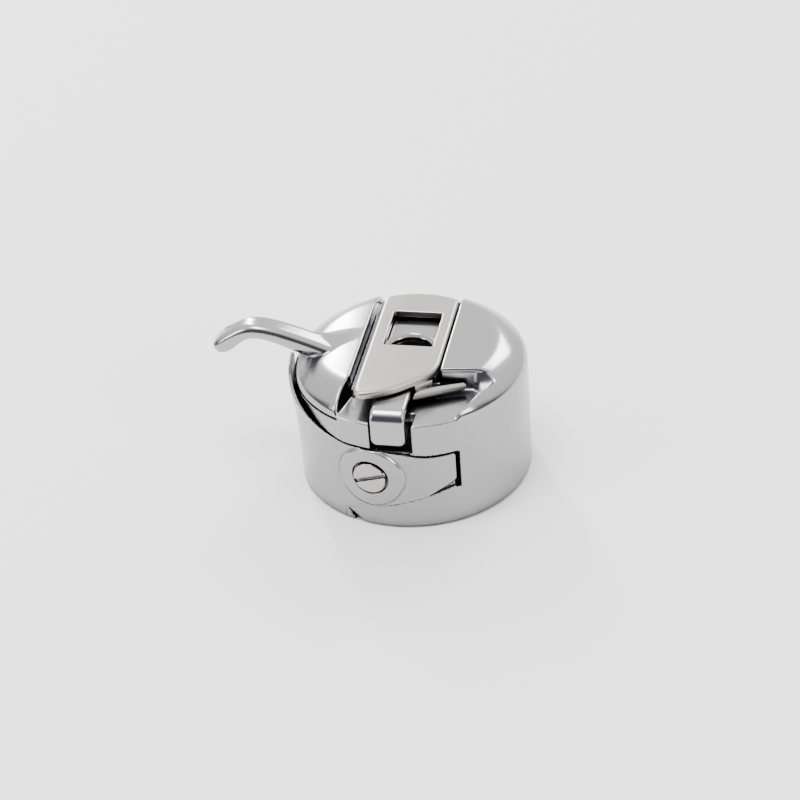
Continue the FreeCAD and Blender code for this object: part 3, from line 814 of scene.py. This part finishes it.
    def slide_shape(self, x: Array, y: Array, z: Array) -> Array:
        """Distance to the slide with its bent tab, stud hole, lug and hinge knuckle.

        Args:
            x: Places across the channel.
            y: Places along the channel.
            z: Heights.

        Returns:
            The signed distances.
        """
        low, high = self.slide_levels
        near, far = self.slide_span
        strip = block(x, y, z, (-self.slide_half, near, low), (self.slide_half, far, high),
                      self.slide_edges[0])
        radius, half_width = self.knuckle
        tail = block(x, y, z, (-half_width, far - self.knuckle_lap, low),
                     (half_width, self.hinge[0], high), EASED)
        knuckle = tube_along_x(x, y, z, self.hinge, radius, -half_width, half_width)
        slide = np.minimum(strip, self.bent_strip(x, y, z))
        slide = np.minimum(slide, np.minimum(tail, knuckle))
        slide = np.minimum(slide, block(x, y, z, *self.lug, self.lug_edge))
        reach = np.clip(y, self.stud_hole_far - self.travel, self.stud_hole_far)
        depth, most = self.stud_flare
        flare = np.clip(z - (high - depth), 0, most)
        slide = carve(slide, np.hypot(x, y - reach) - self.stud_hole - flare, EASED)
        return carve(slide, self.around_pin(y, z, self.slide_pin_hole), CRISP)

    def coil(self) -> bpy.types.Object:
        """Wind the latch's coil spring as a tube of round wire.

        Returns:
            The coil, which closes up between the case and the slide.
        """
        start, end = self.coil_span
        around, per_turn = self.coil_facets
        along = int(self.coil_turns * per_turn)
        corners, faces = [], []
        for ring in range(along + 1):
            share = ring / along
            angle = share * self.coil_turns * math.tau
            crowded = 0.5 - 0.5 * math.cos(math.pi * share)
            reach = share + self.coil_end_squeeze * (crowded - share)
            length = end - start - 2 * self.coil_wire
            out = Vector((math.cos(angle), 0, math.sin(angle)))
            centre = out * self.coil_radius + Vector((0, start + self.coil_wire + reach * length,
                                                      self.coil_height))
            for spoke in range(around):
                turn = spoke / around * math.tau
                spot = centre + self.coil_wire * (out * math.cos(turn) + Vector((0, 1, 0)) * math.sin(turn))
                corners.append(spot * MM)
        for ring in range(along):
            for spoke in range(around):
                beside = (spoke + 1) % around
                faces.append((ring * around + spoke, ring * around + beside,
                              (ring + 1) * around + beside, (ring + 1) * around + spoke))
        faces.append(tuple(reversed(range(around))))
        faces.append(tuple(along * around + spoke for spoke in range(around)))
        mesh = bpy.data.meshes.new("latch_coil")
        mesh.from_pydata(corners, [], faces)
        mesh.shade_smooth()
        piece = bpy.data.objects.new("latch_coil", mesh)
        bpy.context.scene.collection.objects.link(piece)
        LOG.info("latch_coil: %d corners, %d faces", len(corners), len(faces))
        return piece

    def build(self) -> dict[str, bpy.types.Object]:
        """Skin the lever and slide and wind the coil, each for its plain CAD piece.

        Returns:
            The pieces by name.
        """
        lever = skinned("latch_lever_plate", self.lever_shape, *self.lever_room, self.step)
        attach(lever, "lever")
        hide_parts("latch_lever")
        slide = skinned("latch_slide_plate", self.slide_shape, *self.slide_room, self.step)
        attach(slide, "slide")
        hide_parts("latch_slide")
        coil = self.coil()
        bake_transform(coil)
        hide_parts("latch_spring")
        return {"lever": lever, "slide": slide, "coil": coil}

    def dress(self, pieces: dict[str, bpy.types.Object], finishes: Finishes) -> None:
        """Give the lever its satin plate, the slide its polished one and the coil its bare wire.

        Args:
            pieces: The pieces by name, as built.
            finishes: The materials by name.
        """
        coat(pieces["lever"], finishes["nickel_plate_satin"])
        coat(pieces["slide"], finishes["nickel_plate_polished"])
        coat(pieces["coil"], finishes["spring_steel_wire"])
        coat(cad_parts["hinge_pin"], finishes["turned_screw_steel"])
        LOG.info("hinge_pin keeps its frame shape")


def azimuth_of(x: Array, y: Array, wrap: float = 150.0) -> Array:
    """Degrees about the axis from the latch tab's side, towards +X.

    Args:
        x: Places across the channel.
        y: Places along the channel.
        wrap: Azimuth above which angles are counted as negative ones.

    Returns:
        The azimuths.
    """
    azimuth = np.degrees(np.arctan2(x, -y))
    return np.where(azimuth > wrap, azimuth - 360, azimuth)


def radial_frame(x: Array, y: Array, azimuth: float) -> tuple[Array, Array]:
    """Distance out along a radius of the case, and across it.

    Args:
        x: Places across the channel.
        y: Places along the channel.
        azimuth: Where the radius stands, in degrees.

    Returns:
        The distances out and across.
    """
    turn = math.radians(azimuth)
    return x * math.sin(turn) - y * math.cos(turn), x * math.cos(turn) + y * math.sin(turn)


@dataclass
class Tension:
    """The leaf spring on the wall, with its dish and back hook, and the screw that sets it."""

    outer: float = 11.3
    thickness: float = 0.3
    azimuths: Pair = (-90.0, 31.0)  # back and right end
    start_azimuth: float = -27.0
    back_bottom: float = 0.2
    under: Pair = (3.17, 3.57)  # where the tip's edge starts
    under_slope: float = 15.5
    tip_slope: float = 30.0
    top_line: Outline = ((-95.0, 12.15), (-77.0, 11.9), (-54.0, 10.6), (-40.5, 9.5), (-27.0, 8.75),
                         (-11.4, 8.8), (4.3, 8.6), (12.0, 8.2), (16.1, 8.03), (40.0, 8.05))
    top_scale: float = 0.9
    top_easing: tuple[float, ...] = (-4, -2, 0, 2, 4)
    outline_corners: Pair = (0.1, 0.25)  # lower edge, ends
    leaf_edge: float = 0.03
    stand_off: float = 0.6
    flare_azimuths: Pair = (24.0, 48.0)
    flare_fade: Triple = (0.25, 50.0, 90.0)  # share lost, from, to
    flare_levels: Pair = (3.0, 7.0)  # start, span
    flare_power: float = 1.6
    flare_most: float = 1.1
    mouth_at_rim: Pair = (-4.2, -2.95)
    mouth_slope: float = 47.0
    mouth_reach: float = 1.8
    mouth_taper: Triple = (1.1, 0.12, 1.2)  # length, least, most
    hook: tuple[float, ...] = (-91.0, 0.4, 4.0, 8.0)  # azimuth, width, bottom, top
    hook_span: Pair = (10.55, 11.65)
    hook_edge: float = 0.06
    screw: Pair = (-11.5, 5.68)  # azimuth, height
    dish: float = 3.1
    dish_rise: float = 0.16
    dish_stretch: float = 1.06
    dish_step: float = 0.1
    ring: Triple = (0.07, 0.12, 0.07)  # depth, place past the dish, width
    screw_recess: Pair = (1.82, 11.08)  # radius, floor
    recess_edge: float = 0.08
    screw_hole: float = 0.75
    inside: float = 8.0
    head: Triple = (1.62, 11.1, 11.6)  # radius, underside, top
    head_edge: float = 0.12
    shank: Pair = (0.7, 10.5)  # radius, tip
    shank_edge: float = 0.15
    shank_lap: float = 0.1
    drive_slot: Pair = (0.22, 0.36)  # half width, depth
    drive_edge: float = 0.06
    drive_angle: float = 21.0
    leaf_room: Box = ((-12.5, -12.2, 0.0), (6.4, 1.2, 12.6))
    screw_room: Box = ((-4.3, -12.1, 3.6), (0.0, -9.5, 7.7))
    step: float = 0.09
    screw_step: float = 0.054

    def screw_frame(self, x: Array, y: Array, z: Array) -> tuple[Array, Array, Array]:
        """Distance out along the screw's axis, and across and above it."""
        return *radial_frame(x, y, self.screw[0]), z - self.screw[1]

    def screw_bore(self, x: Array, y: Array, z: Array) -> Array:
        """Distance to the screw's hole, which runs out of the case from its inside."""
        out, across, above = self.screw_frame(x, y, z)
        return np.maximum(np.hypot(across, above) - self.screw_hole, self.inside - out)

    def mouth(self, x: Array, z: Array) -> Array:
        """Distance to the slanting mouth where the thread goes in, tapering up from the rim.

        Args:
            x: Places across the channel.
            z: Heights.

        Returns:
            The signed distances.
        """
        lean = math.radians(self.mouth_slope)
        middle = sum(self.mouth_at_rim) / 2
        half = (self.mouth_at_rim[1] - self.mouth_at_rim[0]) / 2 * math.sin(lean)
        along = (middle - x) * math.cos(lean) + z * math.sin(lean)
        across = (x - middle) * math.sin(lean) + z * math.cos(lean)
        length, least, most = self.mouth_taper
        taper = half * np.clip(1 - along / (self.mouth_reach * length), least, most)
        return np.maximum(np.abs(across) - taper, along - self.mouth_reach)

    def below_line(self, x: Array, z: Array, slope: float) -> Array:
        """Distance below a line across the near side that rises from the end of the seat's edge."""
        lean = math.radians(slope)
        return (self.under[1] + (x - self.under[0]) * math.tan(lean) - z) * math.cos(lean)

    def outline(self, x: Array, y: Array, z: Array, top: float = 0, under: float = 0, end: float = 0,
                tip: bool = True) -> Array:
        """Distance to the leaf's outline on the wall, let out by a gap on each side.

        Args:
            x: Places across the channel.
            y: Places along the channel.
            z: Heights.
            top: Gap above the leaf.
            under: Gap below it.
            end: Gap past its right end.
            tip: Whether the lower edge turns up near the right end.

        Returns:
            The signed distances.
        """
        azimuth = azimuth_of(x, y)
        along = np.radians(azimuth) * self.outer
        knots, heights = zip(*self.top_line)
        above = sum(np.interp(azimuth + shift, knots, heights) for shift in self.top_easing)
        above = above / len(self.top_easing)
        below = self.below_line(x, z, self.under_slope)
        if tip:
            below = np.maximum(below, self.below_line(x, z, self.tip_slope))
        back = np.maximum(along - math.radians(self.start_azimuth) * self.outer, self.back_bottom - z)
        below = np.minimum(below, back) - under
        left, right = (math.radians(edge) * self.outer for edge in self.azimuths)
        sides = np.maximum(along - right - end, left - along)
        lower, ends = self.outline_corners
        return smooth_max(smooth_max((z - above) * self.top_scale - top, below, lower), sides, ends)

    def flare(self, azimuth: Array, z: Array) -> Array:
        """How far the leaf stands off the wall, most at its upper left.

        Args:
            azimuth: Azimuths, in degrees.
            z: Heights.

        Returns:
            The distances.
        """
        loss, start, end = self.flare_fade
        lift = self.stand_off * ease(-azimuth, *self.flare_azimuths) * (1 - loss * ease(-azimuth, start, end))
        low, span = self.flare_levels
        return lift * np.clip((z - low) / span, 0, self.flare_most) ** self.flare_power

    def hook_shape(self, x: Array, y: Array, z: Array) -> Array:
        """Distance to the hook at the leaf's back end, which goes in through the wall.

        Args:
            x: Places across the channel.
            y: Places along the channel.
            z: Heights.

        Returns:
            The signed distances.
        """
        azimuth, width, low, high = self.hook
        out, across = radial_frame(x, y, azimuth)
        return smooth_max(np.maximum(np.abs(across) - width / 2, slab(z, low, high)),
                          slab(out, *self.hook_span), self.hook_edge)

    def leaf_shape(self, x: Array, y: Array, z: Array) -> Array:
        """Distance to the leaf.

        Args:
            x: Places across the channel.
            y: Places along the channel.
            z: Heights.

        Returns:
            The signed distances.
        """
        radius = np.hypot(x, y)
        lift = self.flare(azimuth_of(x, y), z)
        out, across, above = self.screw_frame(x, y, z)
        oval = np.hypot(across / self.dish_stretch, above)
        rise = self.dish_rise * (1 - ease(oval, self.dish - self.dish_step, self.dish + self.dish_step))
        depth, beside, width = self.ring
        ring = depth * np.exp(-((oval - self.dish - beside) / width) ** 2)
        leaf = np.maximum(radius - self.outer - lift - rise + ring,
                          self.outer - self.thickness + lift - radius)
        leaf = smooth_max(leaf, self.outline(x, y, z), self.leaf_edge)
        leaf = np.maximum(leaf, -self.mouth(x, z))
        recess_radius, floor = self.screw_recess
        leaf = carve(leaf, np.maximum(np.hypot(across, above) - recess_radius, floor - out), self.recess_edge)
        return np.minimum(carve(leaf, self.screw_bore(x, y, z), CRISP), self.hook_shape(x, y, z))

    def screw_shape(self, x: Array, y: Array, z: Array) -> Array:
        """Distance to the slotted screw.

        Args:
            x: Places across the channel.
            y: Places along the channel.
            z: Heights.

        Returns:
            The signed distances.
        """
        out, across, above = self.screw_frame(x, y, z)
        away = np.hypot(across, above)
        radius, low, high = self.head
        head = smooth_max(away - radius, slab(out, low, high), self.head_edge)
        shank_radius, tip = self.shank
        body = smooth_max(away - shank_radius, slab(out, tip, low + self.shank_lap), self.shank_edge)
        turn = math.radians(self.drive_angle)
        beside = above * math.cos(turn) - across * math.sin(turn)
        half, depth = self.drive_slot
        slot = np.maximum(np.abs(beside) - half, high - depth - out)
        return carve(np.minimum(head, body), slot, self.drive_edge)

    def build(self) -> dict[str, bpy.types.Object]:
        """Skin the leaf and the screw for the frame's plain ones.

        Returns:
            The pieces by name.
        """
        leaf = skinned("tension_leaf", self.leaf_shape, *self.leaf_room, self.step)
        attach(leaf, "case")
        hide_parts("tension_spring")
        screw = skinned("slotted_screw", self.screw_shape, *self.screw_room, self.screw_step)
        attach(screw, "screw")
        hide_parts("tension_screw")
        return {"leaf": leaf, "screw": screw}

    def dress(self, pieces: dict[str, bpy.types.Object], finishes: Finishes) -> None:
        """Plate the leaf like the wall and leave the screw as it was turned."""
        coat(pieces["leaf"], finishes["nickel_plate_drawn_wall"])
        coat(pieces["screw"], finishes["turned_screw_steel"])


@dataclass
class CaseCup:
    """The drawn cup with its latch notch, the leaf's seat, the thread slot and the seam."""

    tension: Tension
    outer: float = 11.3
    inner: float = 10.45
    top: float = 11.45
    top_lap: float = 0.25
    rim_round: float = 0.4
    tuck: float = 0.012
    tuck_height: float = 0.05
    notch: tuple[float, ...] = (-2.05, 2.0, -9.0, 8.7)  # left, right, inner, bottom
    seat_gap: float = 0.02
    seat_gaps: Triple = (0.2, -0.04, 0.35)  # above, under, past the right end
    seat_edge: float = 0.02
    seam: tuple[float, ...] = (-103.0, -28.0, 11.2, 10.9)  # start, end, level, inner radius
    near_side: float = -3.0
    mouth_edge: float = 0.06
    slot_start: Pair = (-5.75, 1.5)
    slot_size: Pair = (12.3, 0.5)  # length, width
    eye: tuple[float, ...] = (32.0, 0.5, 4.1, 8.1)  # azimuth, width, bottom, top
    hook_play: float = 0.1
    room: Box = ((-11.6, -11.6, -0.3), (11.6, 11.6, 11.8))
    step: float = 0.135

    def blank(self, x: Array, y: Array, z: Array) -> Array:
        """Distance to the wall before it is cut, open at both ends.

        Args:
            x: Places across the channel.
            y: Places along the channel.
            z: Heights.

        Returns:
            The signed distances.
        """
        radius = np.hypot(x, y)
        tucked = self.tuck * ease(z, self.top - self.tuck_height, self.top)
        wall = np.maximum(radius - self.outer + tucked, self.inner - radius)
        wall = smooth_max(wall, -z, self.rim_round)
        return np.maximum(wall, z - self.top - self.top_lap)

    def window(self, x: Array, y: Array, z: Array, place: Sequence[float]) -> Array:
        """Distance to an upright slot through the wall.

        Args:
            x: Places across the channel.
            y: Places along the channel.
            z: Heights.
            place: The slot's azimuth, width, bottom and top.

        Returns:
            The signed distances.
        """
        azimuth, width, low, high = place
        out, across = radial_frame(x, y, azimuth)
        return np.maximum(np.maximum(np.abs(across) - width / 2, slab(z, low, high)),
                          self.tension.inside - out)

    def thread_slot(self, x: Array, z: Array) -> Array:
        """Distance to the slanting slot that leads the thread under the leaf.

        Args:
            x: Places across the channel.
            z: Heights.

        Returns:
            The signed distances.
        """
        slope = math.radians(self.tension.under_slope)
        east, up = x - self.slot_start[0], z - self.slot_start[1]
        length, width = self.slot_size
        return np.maximum(slab(east * math.cos(slope) + up * math.sin(slope), 0, length),
                          slab(up * math.cos(slope) - east * math.sin(slope), 0, width))

    def shape(self, x: Array, y: Array, z: Array) -> Array:
        """Distance to the cup's wall.

        Args:
            x: Places across the channel.
            y: Places along the channel.
            z: Heights.

        Returns:
            The signed distances.
        """
        radius = np.hypot(x, y)
        left, right, inner, bottom = self.notch
        notch = block(x, y, z, (left, -CLEAR, bottom), (right, inner, CLEAR))
        wall = carve(self.blank(x, y, z), notch, EASED)
        top, under, far = self.seat_gaps
        seat = self.tension.outline(x, y, z, top=top, under=under, end=far, tip=False)
        floor = self.outer - self.tension.thickness - self.seat_gap
        wall = carve(wall, np.maximum(seat, floor - radius), self.seat_edge)
        start, end, low, deep = self.seam
        along = np.abs(azimuth_of(x, y) - (start + end) / 2) - (end - start) / 2
        wall = np.maximum(wall, -np.maximum(np.maximum(along * math.radians(self.outer), low - z),
                                            deep - radius))
        near = np.maximum(y - self.near_side, 0)
        wall = carve(wall, np.maximum(self.tension.mouth(x, z), near), self.mouth_edge)
        wall = carve(wall, np.maximum(self.thread_slot(x, z), near), CRISP)
        azimuth, width, low, high = self.tension.hook
        hook_slot = (azimuth, width + self.hook_play, low - self.hook_play, high + self.hook_play)
        for place in (self.eye, hook_slot):
            wall = carve(wall, self.window(x, y, z, place), CRISP)
        return np.maximum(wall, -self.tension.screw_bore(x, y, z))

    def build(self) -> bpy.types.Object:
        """Skin the cup for the frame's plain one.

        Returns:
            The cup.
        """
        piece = skinned("drawn_cup_wall", self.shape, *self.room, self.step)
        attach(piece, "case")
        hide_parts("case_wall")
        return piece

    def dress(self, piece: bpy.types.Object, finishes: Finishes) -> None:
        """Plate the wall, and leave the post inside it as it was turned.

        Args:
            piece: The cup, as built.
            finishes: The materials by name.
        """
        coat(piece, finishes["nickel_plate_drawn_wall"])
        coat(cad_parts["centre_post"], finishes["turned_screw_steel"])
        LOG.info("centre_post keeps its frame shape")


# ---------------------------------------------------------------- studio


@dataclass(frozen=True)
class Softbox:
    """A rectangular soft light that faces the case: its place and size in metres, its power in watts."""

    name: str
    place: Triple
    size: Pair
    power: float


@dataclass
class Studio:
    """A white table, soft lights all round, and the camera."""

    azimuth: float = 13.0
    elevation: float = 34.5
    roll: float = -4.22
    distance: float = 0.26
    aim_height: float = 0.00587
    aside: Pair = (-0.0014, 0.00098)
    lens: float = 119.6
    nearest: float = 0.01
    table_half: float = 1.5
    softboxes: tuple[Softbox, ...] = (
        Softbox("streak_strip", (-0.25, 0.46, 0.27), (0.05, 0.3), 2.2),
        Softbox("back_softbox", (0.16, 0.47, 0.35), (0.16, 0.2), 1.6),
        Softbox("top_softbox", (-0.12, -0.1, 0.6), (0.2, 0.2), 2.6),
        Softbox("left_softbox", (-0.5, -0.3, 0.3), (0.2, 0.3), 2.0),
        Softbox("right_softbox", (0.5, -0.3, 0.35), (0.2, 0.3), 2.0))
    sky_strength: float = 2.1
    sky_lean: Triple = (0.0, 0.62, 0.78)
    sky: tuple[tuple[float, str], ...] = ((0.0, "4A4C55"), (0.16, "6A6C74"), (0.4, "E6E6E6"), (1.0, "FFFFFF"))

    def camera(self) -> None:
        """Place the camera."""
        turn, tip, lean = (math.radians(v) for v in (self.azimuth, self.elevation, self.roll))
        level = Vector((math.cos(turn), math.sin(turn), 0))
        ahead = Vector((-math.sin(turn) * math.cos(tip), math.cos(turn) * math.cos(tip), -math.sin(tip)))
        upright = level.cross(ahead)
        right = level * math.cos(lean) + upright * math.sin(lean)
        up = upright * math.cos(lean) - level * math.sin(lean)
        spot = Vector((0, 0, self.aim_height)) - ahead * self.distance
        spot += right * self.aside[0] + up * self.aside[1]
        data = bpy.data.cameras.new("studio_camera")
        data.lens = self.lens
        data.clip_start = self.nearest
        camera = bpy.data.objects.new("studio_camera", data)
        camera.matrix_world = Matrix.Translation(spot) @ Matrix((right, up, -ahead)).transposed().to_4x4()
        bpy.context.scene.collection.objects.link(camera)
        bpy.context.scene.camera = camera

    def hang(self, box: Softbox) -> None:
        """Hang a soft light so that it faces the case.

        Args:
            box: The light.
        """
        data = bpy.data.lights.new(box.name, "AREA")
        data.shape = "RECTANGLE"
        data.size, data.size_y = box.size
        data.energy = box.power
        lamp = bpy.data.objects.new(box.name, data)
        lamp.location = box.place
        ahead = Vector((0, 0, self.aim_height)) - Vector(box.place)
        lamp.rotation_euler = ahead.to_track_quat("-Z", "Y").to_euler()
        bpy.context.scene.collection.objects.link(lamp)

    def table(self) -> None:
        """Lay the table top under the open rim."""
        low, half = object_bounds()[0][2], self.table_half
        mesh = bpy.data.meshes.new("table_top")
        mesh.from_pydata([(-half, -half, low), (half, -half, low), (half, half, low), (-half, half, low)],
                         [], [(0, 1, 2, 3)])
        table = bpy.data.objects.new("table_top", mesh)
        bpy.context.scene.collection.objects.link(table)
        coat(table, TableTop().build())
        table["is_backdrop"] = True

    def room(self) -> None:
        """Close the studio in with a room that is bright at the back and darker in front."""
        world = bpy.data.worlds.new("studio_world")
        world.use_nodes = True
        tree = world.node_tree
        way = add_node(tree, "ShaderNodeTexCoord").outputs["Generated"]
        height = add_node(tree, "ShaderNodeVectorMath", {"operation": "DOT_PRODUCT"}, {0: way})
        height.inputs[1].default_value = self.sky_lean
        shades = add_node(tree, "ShaderNodeValToRGB", None, {"Fac": height.outputs["Value"]})
        ramp = shades.color_ramp
        ramp.elements[0].position, ramp.elements[1].position = self.sky[0][0], self.sky[-1][0]
        for _ in self.sky[1:-1]:
            ramp.elements.new(0.5)
        for element, (position, shade) in zip(ramp.elements, self.sky):
            element.position = position
            element.color = linear(shade)
        background = tree.nodes["Background"]
        tree.links.new(shades.outputs["Color"], background.inputs["Color"])
        background.inputs["Strength"].default_value = self.sky_strength
        bpy.context.scene.world = world

    def build(self) -> None:
        """Set up the whole studio."""
        self.camera()
        self.table()
        for box in self.softboxes:
            self.hang(box)
        self.room()


def metal_finishes() -> Finishes:
    """Make the case's five metal finishes.

    Returns:
        The materials by name.
    """
    # Barrel-plated and tumbled: the brightest plate, with clear soft-edged reflections.
    polished = PlatedSteel("nickel_plate_polished", roughness=0.19, smear=0.08)
    # Brushed before plating: a flat, slightly warm sheen with fine marks along the lever.
    satin = PlatedSteel("nickel_plate_satin", colour="A4A19B", roughness=0.32, smear=0.08,
                        grain=Grain.ALONG_Y, mark_depth_mm=0.002)
    # Deep-drawn and plated: faint marks round the wall blur the table's reflection.
    drawn = PlatedSteel("nickel_plate_drawn_wall", colour="999899", roughness=0.25, grain=Grain.AROUND)
    # Bare spring wire: duller and a little darker than the plate.
    wire = PlatedSteel("spring_steel_wire", colour="A8A8AA", roughness=0.28)
    # Turned and left bright: fine tool marks, and a broken edge that catches the light.
    turned = PlatedSteel("turned_screw_steel", colour="ABA8A6", roughness=0.26, grain=Grain.ALONG_X,
                         mark_depth_mm=0.002, edge_mm=0.08, crevice_mm=1.8)
    return {finish.name: finish.build() for finish in (polished, satin, drawn, wire, turned)}


def main() -> None:
    """Build every sub-assembly in order and report each piece."""
    logging.basicConfig(level=logging.INFO, format="%(name)s %(message)s")
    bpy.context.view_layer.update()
    Studio().build()
    finishes = metal_finishes()
    tension = Tension()
    for assembly in (FaceCover(), Latch(), tension, CaseCup(tension)):
        assembly.dress(assembly.build(), finishes)
        LOG.info("%s is done", type(assembly).__name__)


if __name__ == "__main__":
    main()
